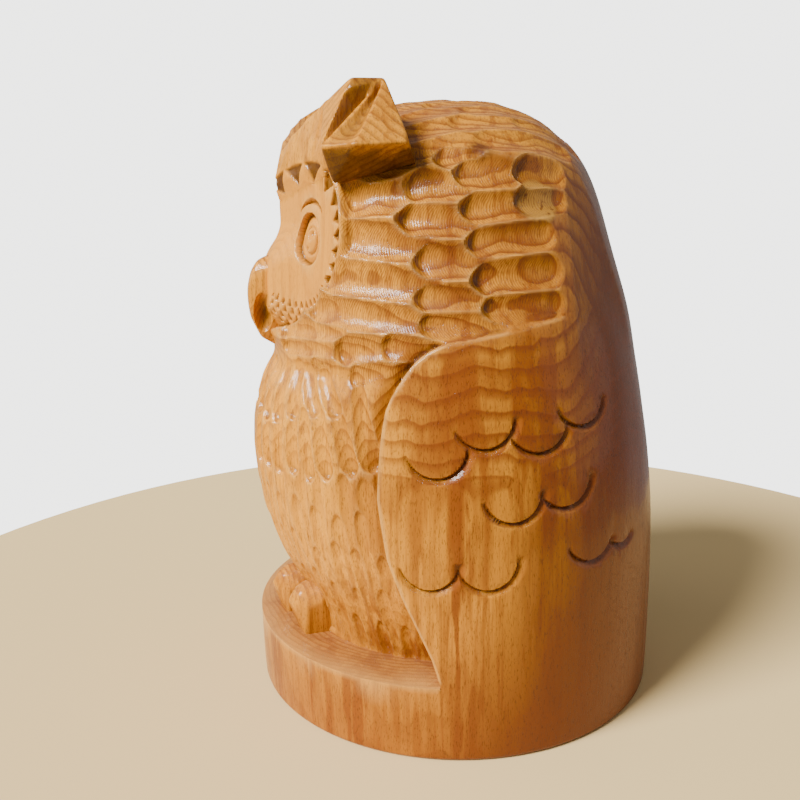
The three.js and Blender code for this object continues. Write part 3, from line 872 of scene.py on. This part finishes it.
def tuft_cuts(side, corners):
    """Two flutes of a tuft, which fan out from the low end of its crest, and painted shade in them and on its
    underside.

    The first lies between the crest and the ridge, a line from there to the back corner. In the plane of
    the outer flat, t counts across it by angle: points above the line between its two edges, less
    0.2 * distance * 4 t (1 - t), are cut down to it. The second lies between the ridge and the edge of the
    outer flat, t counts from one to the other, and it is 1.5 * 4 t (1 - t) deep.
    """
    crest, low, back, top = (corners[k] for k in (0, 2, 6, 5))
    outward = unit(np.cross(low - crest, back - crest))
    outward = outward * np.sign(outward[0])
    first = top - crest
    first = unit(first - (first @ outward) * outward)
    second = np.cross(outward, first)
    second = second * np.sign((back - crest) @ second)
    ridge = math.atan2((back - crest) @ second, (back - crest) @ first)
    rise = (top - crest) @ outward / np.linalg.norm(top - crest)

    def hollow(points):
        place = points * MIRROR[side]
        offset = place - crest
        high = offset @ outward
        distance = np.hypot(offset @ first, offset @ second)
        angle = np.arctan2(offset @ second, offset @ first)
        rim = 181.4 + 0.25 * (place[:, 1] - top[1])
        t = np.clip(angle / ridge, 0, 1)
        flute = (angle >= 0) * 0.2 * distance * 4 * t * (1 - t)
        target = np.where(angle < 0, 1e3, rise * distance * (1 - t) - flute)
        total = np.clip(high - target, 0, None) * ramp(rim - place[:, 2], 1.6)
        share = np.clip((place[:, 2] - crest[2]) / (back[2] - crest[2]), 0, 1)[:, None]
        from_ridge = crest + share * (back - crest)
        to_edge = low + share * (back - low) - from_ridge
        t = np.einsum("ij,ij->i", place - from_ridge, to_edge) / np.maximum((to_edge ** 2).sum(1), 0.3)
        t = np.clip(t, 0, 1)
        slot = 1.5 * 4 * t * (1 - t) * ramp(share[:, 0] - 0.16, 0.3) * ramp(0.9 - share[:, 0], 0.14)
        slot = slot * ramp(high + 0.9, 0.8)
        # painted shadow under the tuft's overhang, and painted shade in its flutes and its slot
        under = 0.9 * ramp(166.4 - place[:, 2], 1) * (place[:, 0] > 30)
        painted_shade = np.maximum(np.clip(flute / 3 + slot / 2.2, 0, 0.6), under)
        return (total + slot)[:, None] * outward * MIRROR[side], {"painted_shade": painted_shade}
    return hollow


def brow_cuts(side):
    """Slanting strokes across the front of the brow, and the top row of the face's chips below them.

    The strokes run between two lines, a high and a low one, at even shares of the way along both.
    """
    front = unit(np.array([0.35, -0.9, 0.2]))
    high_line = np.array([[0, -52.6, 168.8], [33, -37.5, 185]])
    low_line = np.array([[-5, -54.6, 157], [27, -46.4, 161]])

    def hollow(points):
        total = np.zeros(len(points))
        for k, depth in enumerate((0.3, 0.6, 0.4, 0.7)):
            share = 0.14 + 0.22 * k
            high, low = (line[0] * (1 - share) + line[1] * share for line in (high_line, low_line))
            total = np.maximum(total, groove_depth(points * MIRROR[side], low, high, front, 3.2, depth, 6))
        x, z, inside = face_place(points, side)
        chip = chips(x, z, inside)
        total = total * ramp(-inside, 1) + 0.7 * chip
        # painted sheen of the window on the face below the brow
        pale = ramp(inside, 0.6) * (1 - 0.8 * chip)
        # painted shade in the chips below the brow
        return total[:, None] * front * MIRROR[side], {"painted_shade": chip, "pale": pale}
    return hollow


def beak_cuts(points):
    """Hollow on each side of the beak, between its hook and the face.

    Its depth is 2.9 * (1.25 - 1.25 r)^0.7, with r the distance from its middle as a share of its reach.
    """
    side = np.sign(points[:, 0] + 1e-6)
    mirrored = np.stack([points[:, 0] * side, points[:, 1], points[:, 2]], -1)
    away = (mirrored - np.array([4.2, -60.4, 121])) / np.array([6, 2.9, 6.4])
    depth = 2.9 * np.clip(1.25 - 1.25 * np.linalg.norm(away, axis=1), 0, 1) ** 0.7
    # painted shade in the hollow beside the beak, darker with its depth
    return (depth * side)[:, None] * np.array([1.0, -0.2, 0]), {"painted_shade": 0.28 * depth}


def no_cuts(points):
    """Leaves a block as it is."""
    return np.zeros(points.shape), {}


def union(target, parts):
    """Joins closed meshes to another and keeps only the outer surface."""
    for part in parts:
        joint = target.modifiers.new("join", "BOOLEAN")
        joint.operation = "UNION"
        joint.solver = "MANIFOLD"
        joint.object = part
    bake(target)
    for part in parts:
        bpy.data.objects.remove(part)


def bake(piece):
    """Replaces a piece's mesh by what its modifiers make of it."""
    graph = bpy.context.evaluated_depsgraph_get()
    mesh = bpy.data.meshes.new_from_object(piece.evaluated_get(graph))
    old = piece.data
    piece.modifiers.clear()
    piece.data = mesh
    mesh.name = piece.name
    bpy.data.meshes.remove(old)


def triangle_count(mesh):
    """Number of triangles of a mesh."""
    mesh.calc_loop_triangles()
    return len(mesh.loop_triangles)


# The whole carving

def carve(sizes):
    """Rings of points of the carved log, from its underside to its crown, and what marks each point.

    A point lies below the log's surface by the depth of the cuts, a slow unevenness of 0.22 mm and, in
    the cuts of the head, a ragged one of 0.2 mm. The lower edge is rounded as a quarter of a circle.
    """
    chance = np.random.default_rng(SEED)
    surface = Surface(sizes)
    height = surface.height
    chest = cut_chest(surface, sizes)
    head = cut_head(surface, sizes, chance)
    feathers = cut_chest_feathers(surface, sizes, chance)
    groove, wing = cut_wing(surface)
    on_chest = surface.chest[None, :] & (height > sizes.ledge_height / MM)
    head_shown = head * ramp(height - 103, 4)
    front = np.maximum(chest + np.where(on_chest, feathers, 0), head_shown) + groove
    depth = np.maximum(front * (1 - wing) + surface.depth, nape_flats(surface))
    arcs = cut_arcs(surface, sizes)
    depth = cut_face(surface, depth + arcs)

    marks = curved_marks(surface, depth - arcs)
    cut = (head_shown > 0.4) & (height < 168) & (wing < 0.5) & (head >= depth - groove - 0.05)
    marks["chatter"] = cut * np.clip(head / 1.5, 0, 1)
    marks["run"] = surface.run

    ragged = 0.2 * waves(surface.points, 8, SEED + 1) * np.clip(head_shown / 2, 0, 1)
    uneven = 0.22 * waves(surface.points * np.array([1, 1, 0.6]), 26, SEED)
    uneven = (uneven + 0.2) * ramp(height - 30, 20) * ramp(172 - height, 30) + 0.04
    below = depth + uneven + ragged * (1 - surface.pale)
    carved = surface.points - surface.outward * below[..., None]

    radius = sizes.edge_round / MM
    foot = []
    for turn in np.radians(np.linspace(0, 80, FOOT_RINGS)):
        ring = carved[0] * (1 - radius * (1 - math.sin(turn)) / FOOT_RADIUS)
        ring[:, 2] = radius * (1 - math.cos(turn))
        foot.append(ring)
    bare = np.zeros((FOOT_RINGS, carved.shape[1]))
    marks = {key: np.concatenate([bare, value]) for key, value in marks.items()}
    return np.concatenate([foot, carved]), marks


def added_parts():
    """Tufts, brow, feet and beak, as closed objects in the order in which they join the log."""
    parts = []

    def add(name, corners, *form):
        parts.append(add_object(name, grid_mesh(name, *carved_block(corners, *form))))

    for side in SIDES:
        tuft, brow = np.array(TUFT_POINTS, float), np.array(BROW_POINTS, float)
        if side < 0:
            for corners in (tuft, brow):
                corners[corners[:, 2] > FAR_ABOVE] += FAR_SHIFT
        add("tuft", tuft * MIRROR[side], 120, 60, tuft_cuts(side, tuft))
        add("brow", brow * MIRROR[side], 90, 60, brow_cuts(side))
    for centre in FEET:
        add("foot", np.array(FOOT_CORNERS) + centre, 70, 40, no_cuts)
    add("beak", np.concatenate([BEAK_POINTS * MIRROR[side] for side in SIDES]), 90, 50, beak_cuts)
    return parts


# Material

def linear(text):
    """Linear colour of an sRGB hex value."""
    channels = [int(text[k:k + 2], 16) / 255 for k in (0, 2, 4)]
    return [c / 12.92 if c <= 0.04045 else ((c + 0.055) / 1.055) ** 2.4 for c in channels] + [1.0]


def add_node(tree, kind, inputs=(), output=0, **settings):
    """Adds a node, sets it, gives its inputs a value or a link, and returns one of its outputs."""
    node = tree.nodes.new("ShaderNode" + kind)
    for name, value in settings.items():
        setattr(node, name, value)
    for key, value in dict(inputs).items():
        if isinstance(value, bpy.types.NodeSocket):
            tree.links.new(value, node.inputs[key])
        else:
            node.inputs[key].default_value = value
    return None if output is None else node.outputs[output]


# Noise of the wood: name, size across the grain and along it in mm, detail
GRAINS = [
    ("bend", 38, 90, 2.0), ("wander", 9, 40, 2.0), ("tongues", 13, 110, 3.0), ("flames", 3.6, 34, 3.0),
    ("streaks", 0.9, 45, 3.0), ("behind", 15, 80, 2.0), ("specks", 1.6, 2.2, 3.0), ("knots", 7, 7, 2.0),
    ("pores", 0.3, 1.5, 2.0), ("shudder", 2.6, 4, 2.0), ("patches", 3, 3, 1.0),
]

# Where effects lie: the coordinate they go by, from where to where in mm, and their strength at each end
REACHES = {
    "taper": ("z", 82, 124, 0, 19), "shoulder": ("z", 60, 92, 0.3, 0.95), "crown": ("z", 156, 168, 1, 0.55),
    "front": ("y", -20, -52, 0, 1), "above_ledge": ("z", 22, 55, 0, 1), "low": ("z", 85, 50, 0.35, 1),
    "forward": ("y", 10, -30, 0.83, 1),
}

# Middle of the rings at the log's foot, and how far it leans for each mm of height
PITH = (-4.0, -3.0, 0.0)
PITH_LEAN = (0.035, -0.04)

# Ripples that a chattering gouge leaves: distance from one to the next, in mm
RIPPLE = 0.75

# Knots: middle, radius in mm, colour inside, colour of the rim, share of the inside
KNOTS = [
    ((49.0, 9.0, 154.0), 5.8, "sap_wood", "knot", 0.45), ((43.0, -5.0, 168.0), 2.4, "knot", "pore", 0.7),
]


def varnished_wood(sizes, colours):
    """Hardwood log, stained and varnished.

    It shows rings round a leaning pith, tongues and flames of darker and lighter wood, pores, painted light
    on the front and the head, painted shade at the back, in the hollows and under the tufts, a painted
    highlight on edges, a painted sheen on the face, and a satin coat that lets the window glint on every cut.
    """
    material = bpy.data.materials.new("varnished_hardwood")
    material.use_nodes = True
    tree = material.node_tree
    tree.nodes.clear()
    add = partial(add_node, tree)
    shades = {name: linear(getattr(colours, name)) for name in OwlColours.__annotations__}
    place = add("TexCoord", output="Object")
    mm = add("VectorMath", {0: place, "Scale": 1 / MM}, operation="SCALE")
    mark = {key: add("Attribute", output="Fac", attribute_name=key) for key in MARKS}
    grain = {}
    for name, across, along, detail in GRAINS:
        scaled = add("Mapping", {"Vector": mm, "Scale": (1 / across, 1 / across, 1 / along)})
        noise = {"Vector": scaled, "Scale": 1.0, "Detail": detail, "Roughness": 0.55}
        grain[name] = add("TexNoise", noise)

    x, y, z = (add("SeparateXYZ", {0: mm}, output=k) for k in range(3))
    reach = {}
    for name, (axis, start, end, first, last) in REACHES.items():
        source = {"y": y, "z": z}[axis]
        reach[name] = add("MapRange", {0: source, 1: start, 2: end, 3: first, 4: last})

    # Rings a little off centre, which lean and wander with the height of the trunk and taper above the wings
    x_off = add("Math", {0: z, 1: PITH_LEAN[0], 2: x}, operation="MULTIPLY_ADD")
    y_off = add("Math", {0: z, 1: PITH_LEAN[1], 2: y}, operation="MULTIPLY_ADD")
    flat = add("CombineXYZ", {0: x_off, 1: y_off})
    away = add("VectorMath", {0: flat, 1: PITH}, output="Value", operation="DISTANCE")
    bent = add("Math", {0: grain["bend"], 1: 9.0, 2: away}, operation="MULTIPLY_ADD")
    bent = add("Math", {0: grain["wander"], 1: 1.6, 2: bent}, operation="MULTIPLY_ADD")
    bent = add("Math", {0: bent, 1: reach["taper"]}, operation="ADD")
    count = add("Math", {0: bent, 1: sizes.ring_width / MM}, operation="DIVIDE")
    rings = add("Math", {0: count}, operation="FRACT")
    rise = add("MapRange", {0: rings, 1: 0.45, 2: 0.85})
    fall = add("MapRange", {0: rings, 1: 1.0, 2: 0.92})
    line = add("Math", {0: rise, 1: fall}, operation="MULTIPLY")

    # The rings show most on the shoulders, and less below them, on the crown and on the chest
    strength = add("Math", {0: reach["shoulder"], 1: reach["crown"]}, operation="MULTIPLY")
    front = add("Math", {0: reach["front"], 1: reach["above_ledge"]}, operation="MULTIPLY")
    plainer = add("MapRange", {0: front, 3: 1.0, 4: 0.45})
    strength = add("Math", {0: strength, 1: plainer}, operation="MULTIPLY")
    shown = add("Math", {0: line, 1: strength}, operation="MULTIPLY")
    slow = add("Math", {0: bent, 1: 2 * sizes.ring_width / MM}, operation="DIVIDE")
    years = add("TexNoise", {"W": slow, "Scale": 1.0, "Detail": 2.0}, noise_dimensions="1D")
    years = add("Math", {0: years, 1: strength}, operation="MULTIPLY")

    # Light flames low on the log and towards its front, brown ones on the foot, and dark heartwood behind
    # that also paints shade: darker towards the back, the owl's right side and low down
    low = add("Math", {0: reach["low"], 1: reach["forward"]}, operation="MULTIPLY")
    flames = add("Math", {0: grain["flames"], 1: low}, operation="MULTIPLY")
    behind = add("Math", {0: x, 1: -0.25, 2: y}, operation="MULTIPLY_ADD")
    behind = add("Math", {0: grain["behind"], 1: 26.0, 2: behind}, operation="MULTIPLY_ADD")
    behind = add("Math", {0: z, 1: -0.3, 2: behind}, operation="MULTIPLY_ADD")
    behind = add("Math", {0: behind, 1: 26.0}, operation="ADD")
    foot = add("Math", {0: grain["flames"], 1: -55.0, 2: z}, operation="MULTIPLY_ADD")
    foot = add("MapRange", {0: foot, 1: 18.0, 2: -24.0})
    facing = add("SeparateXYZ", {0: add("TexCoord", output="Normal")}, output=2)
    across = add("MapRange", {0: facing, 1: 0.3, 2: 0.85})
    across = add("Math", {0: across, 1: line}, operation="MULTIPLY")

    # Layers of colour, one over another: where each begins and is full, how much it covers, its colour
    layers = [
        (years, 0.36, 0.56, 0.6, "amber_wood"),
        (grain["tongues"], 0.46, 0.55, 0.9, "amber_wood"),
        # painted light: the head above the wings made lighter, as it faces up to the window
        (z, 112.0, 126.0, 0.45, "golden_and_lit"),
        (grain["flames"], 0.46, 0.4, 0.6, "amber_wood"),
        (flames, 0.47, 0.54, 0.8, "golden_and_lit"),
        (foot, 0.0, 1.0, 0.7, "amber_wood"),
        # dark heartwood, with painted shade on the back, on the side away from the window and low down
        (behind, -6.0, 20.0, 0.9, "heart_wood_and_shade"),
        # painted light: the front, which faces the window, made lighter
        (front, 0.0, 1.0, 0.7, "lit_front"),
        (shown, 0.0, 1.0, 0.85, "late_wood"),
        (grain["streaks"], 0.5, 0.72, 0.5, "late_wood"),
        (facing, 0.7, 0.97, 0.5, "end_grain"),
        (across, 0.0, 1.0, 0.5, "late_wood"),
    ]

    # A knot behind the side of the head: sapwood with a dark rim and specks, and a small dark one above it
    for middle, radius, inner, outer, share in KNOTS:
        gap = add("VectorMath", {0: mm, 1: middle}, output="Value", operation="DISTANCE")
        gap = add("Math", {0: grain["knots"], 1: 8.0, 2: gap}, operation="MULTIPLY_ADD")
        within = add("MapRange", {0: gap, 1: radius + 4.8, 2: radius + 3.4})
        spots = add("Math", {0: grain["specks"], 1: within}, operation="MULTIPLY")
        layers.append((gap, radius + 7.0, radius + 4.0, 0.6, outer))
        layers.append((within, 0.0, 1.0, share, inner))
        layers.append((spots, 0.57, 0.66, 0.7, "knot"))

    # The gouge chattered: ripples across its path, uneven along it
    phase = add("Math", {0: grain["shudder"], 1: 9.0}, operation="MULTIPLY")
    phase = add("Math", {0: mark["run"], 1: 2 * math.pi / RIPPLE, 2: phase}, operation="MULTIPLY_ADD")
    ripple = add("Math", {0: phase}, operation="SINE")
    ripple = add("Math", {0: ripple, 1: mark["chatter"]}, operation="MULTIPLY")
    ripple = add("Math", {0: ripple, 1: grain["patches"]}, operation="MULTIPLY")

    # Pores are short dark dashes, a third of a millimetre wide; the marks of the carving come last, with the
    # painted sheen of the face, the painted highlight of the edges and the painted shade of the hollows
    pores = add("MapRange", {0: grain["pores"], 1: 0.57, 2: 0.66})
    layers += [
        # painted shade and glint of the chatter: darker lines along the ripples
        (ripple, 0.06, 0.4, 0.5, "late_wood"),
        (pores, 0.0, 1.0, 0.42, "pore"),
        # painted sheen of the window on the face
        (mark["pale"], 0.0, 1.0, 0.62, "face_sheen"),
        # lighter edges: wear, and a painted highlight on the ledge's rim and on the ridges
        (mark["wear_and_highlight"], 0.0, 1.0, 0.45, "worn_and_lit"),
        # painted shade in the hollows, the cuts and under the tufts
        (mark["painted_shade"], 0.0, 1.0, 0.85, "hollow_shade"),
    ]
    tone = shades["early_wood"]
    for value, start, end, top, name in layers:
        share = add("MapRange", {0: value, 1: start, 2: end, 3: 0.0, 4: top})
        tone = add("Mix", {0: share, 6: tone, 7: shades[name]}, output=2, data_type="RGBA")

    relief = 0.0
    for value, weight in ((line, 0.25), (pores, -0.5), (grain["streaks"], 0.4), (ripple, 0.38)):
        relief = add("Math", {0: value, 1: weight, 2: relief}, operation="MULTIPLY_ADD")
    bump = add("Bump", {"Height": relief, "Strength": 1.0, "Distance": 0.07 * MM})
    roughness = add("MapRange", {0: grain["streaks"], 1: 0.3, 2: 0.8, 3: 0.28, 4: 0.42})
    roughness = add("Math", {0: mark["pale"], 1: 0.12, 2: roughness}, operation="MULTIPLY_ADD")
    shader = add("BsdfPrincipled", {
        "Base Color": tone, "Roughness": roughness, "Normal": bump, "IOR": 1.45, "Specular IOR Level": 0.1,
        "Coat Weight": 0.35, "Coat Roughness": 0.1, "Coat IOR": 1.45, "Coat Normal": bump,
    })
    add("OutputMaterial", {0: shader}, output=None)
    return material


def plain_floor(colours):
    """Matt painted board, pale and even."""
    material = bpy.data.materials.new("matt_painted_floor")
    material.use_nodes = True
    shader = material.node_tree.nodes["Principled BSDF"]
    shader.inputs["Base Color"].default_value = linear(colours.floor)
    shader.inputs["Roughness"].default_value = 0.8
    return material


# Studio: a round floor, in metres, and the even light of a room: on matt surfaces, in reflections, as seen
FLOOR_RADIUS = 0.24
FLOOR_CORNERS = 96
ROOM_COLOUR = (0.92, 0.92, 0.9, 1)
ROOM_LIGHT, ROOM_GLOSS, ROOM_SEEN = 0.28, 0.45, 3.9

# Soft light of a window from above the owl's front and left, and weaker ones on its front and its back:
# where each comes from, how wide it looks in degrees, and its strength
LIGHTS = (
    ("window", (0.36, -1.0, 0.9), 24, 8.5),
    ("front", (-0.5, -1.1, 0.5), 40, 0.5),
    ("wall", (0.5, 1.0, 0.35), 60, 0.5),
)

# Camera: its place in metres, and its turn, tilt and roll in degrees
CAMERA_PLACE = (0.26376, -0.0857, 0.15275)
CAMERA_ANGLES = (75.5, -12.9, -1.06)


# Operators

class OWL_OT_carving(bpy.types.Operator):
    """Carve the owl from its log, with its tufts, beak and feet"""

    bl_idname = "owl.carving"
    bl_label = "Carve the owl"

    def execute(self, context):
        sizes, colours = context.scene.owl_sizes, context.scene.owl_colours
        rings, marks = carve(sizes)
        piece = add_object("owl_carving", grid_mesh("owl_carving", rings, UNDERSIDE, CROWN, marks))
        union(piece, added_parts())
        thin = piece.modifiers.new("thin", "DECIMATE")
        thin.ratio = min(1, sizes.triangles / triangle_count(piece.data))
        bake(piece)
        piece.data.shade_smooth()
        piece.data.set_sharp_from_angle(angle=math.radians(42))
        piece.data.materials.clear()
        piece.data.materials.append(varnished_wood(sizes, colours))
        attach(piece, "root")
        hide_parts("owl")
        return {"FINISHED"}


class OWL_OT_stage(bpy.types.Operator):
    """Add the floor, the soft lights and the camera"""

    bl_idname = "owl.stage"
    bl_label = "Set the stage"

    def execute(self, context):
        sizes, colours = context.scene.owl_sizes, context.scene.owl_colours
        angle = np.linspace(0, 2 * math.pi, FLOOR_CORNERS, endpoint=False)
        ring = np.stack([np.cos(angle), np.sin(angle), 0 * angle], -1) * FLOOR_RADIUS
        mesh = bpy.data.meshes.new("floor")
        mesh.from_pydata(ring.tolist(), [], [list(range(FLOOR_CORNERS))])
        floor = add_object("floor", mesh)
        mesh.materials.append(plain_floor(colours))
        floor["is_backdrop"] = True

        world = bpy.data.worlds.new("studio")
        context.scene.world = world
        world.use_nodes = True
        tree = world.node_tree
        tree.nodes.clear()
        seen = add_node(tree, "LightPath", output="Is Camera Ray")
        gloss = add_node(tree, "LightPath", output="Is Glossy Ray")
        room = add_node(tree, "MapRange", {0: gloss, 3: ROOM_LIGHT, 4: ROOM_GLOSS})
        strength = add_node(tree, "MapRange", {0: seen, 3: room, 4: ROOM_SEEN})
        sky = add_node(tree, "Background", {"Color": ROOM_COLOUR, "Strength": strength})
        add_node(tree, "OutputWorld", {0: sky}, output=None)

        for name, place, wide, power in LIGHTS:
            light = bpy.data.lights.new(name, "SUN")
            light.angle, light.energy = math.radians(wide), power
            lamp = bpy.data.objects.new(name, light)
            context.scene.collection.objects.link(lamp)
            lamp.rotation_euler = (-Vector(place)).to_track_quat("-Z", "Y").to_euler()

        camera = bpy.data.objects.new("camera", bpy.data.cameras.new("camera"))
        context.scene.collection.objects.link(camera)
        camera.data.lens = sizes.lens
        camera.data.sensor_width = 36
        camera.data.clip_start = 0.01
        turn, tilt, roll = (math.radians(value) for value in CAMERA_ANGLES)
        ahead = Vector((-math.sin(turn) * math.cos(tilt), math.cos(turn) * math.cos(tilt), math.sin(tilt)))
        right = ahead.cross(Vector((0, 0, 1))).normalized()
        up = right.cross(ahead)
        basis = Matrix((right, up, -ahead)).transposed() @ Matrix.Rotation(roll, 3, "Z")
        camera.matrix_world = Matrix.Translation(CAMERA_PLACE) @ basis.to_4x4()
        context.scene.camera = camera
        return {"FINISHED"}


class OWL_PT_panel(bpy.types.Panel):
    """Lists the steps of the owl"""

    bl_label = "Owl"
    bl_idname = "OWL_PT_panel"
    bl_space_type = "VIEW_3D"
    bl_region_type = "UI"
    bl_category = "Owl"

    def draw(self, context):
        layout = self.layout
        for group in (context.scene.owl_sizes, context.scene.owl_colours):
            for name in group.__annotations__:
                layout.prop(group, name)
        for operator in STEPS:
            layout.operator(operator.bl_idname)


STEPS = (OWL_OT_carving, OWL_OT_stage)
CLASSES = (OwlSizes, OwlColours, *STEPS, OWL_PT_panel)


def register():
    """Makes the classes known to Blender and gives the scene its sizes and colours."""
    for item in CLASSES:
        bpy.utils.register_class(item)
    bpy.types.Scene.owl_sizes = bpy.props.PointerProperty(type=OwlSizes)
    bpy.types.Scene.owl_colours = bpy.props.PointerProperty(type=OwlColours)


def unregister():
    """Undoes register."""
    del bpy.types.Scene.owl_colours
    del bpy.types.Scene.owl_sizes
    for item in reversed(CLASSES):
        bpy.utils.unregister_class(item)


def main():
    register()
    bpy.ops.owl.carving()
    bpy.ops.owl.stage()
    boxes = {"cad": CAD_BOX, "visual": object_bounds()}
    {name: [list(corner) for corner in box] for name, box in boxes.items()}


if __name__ == "__main__":
    main()
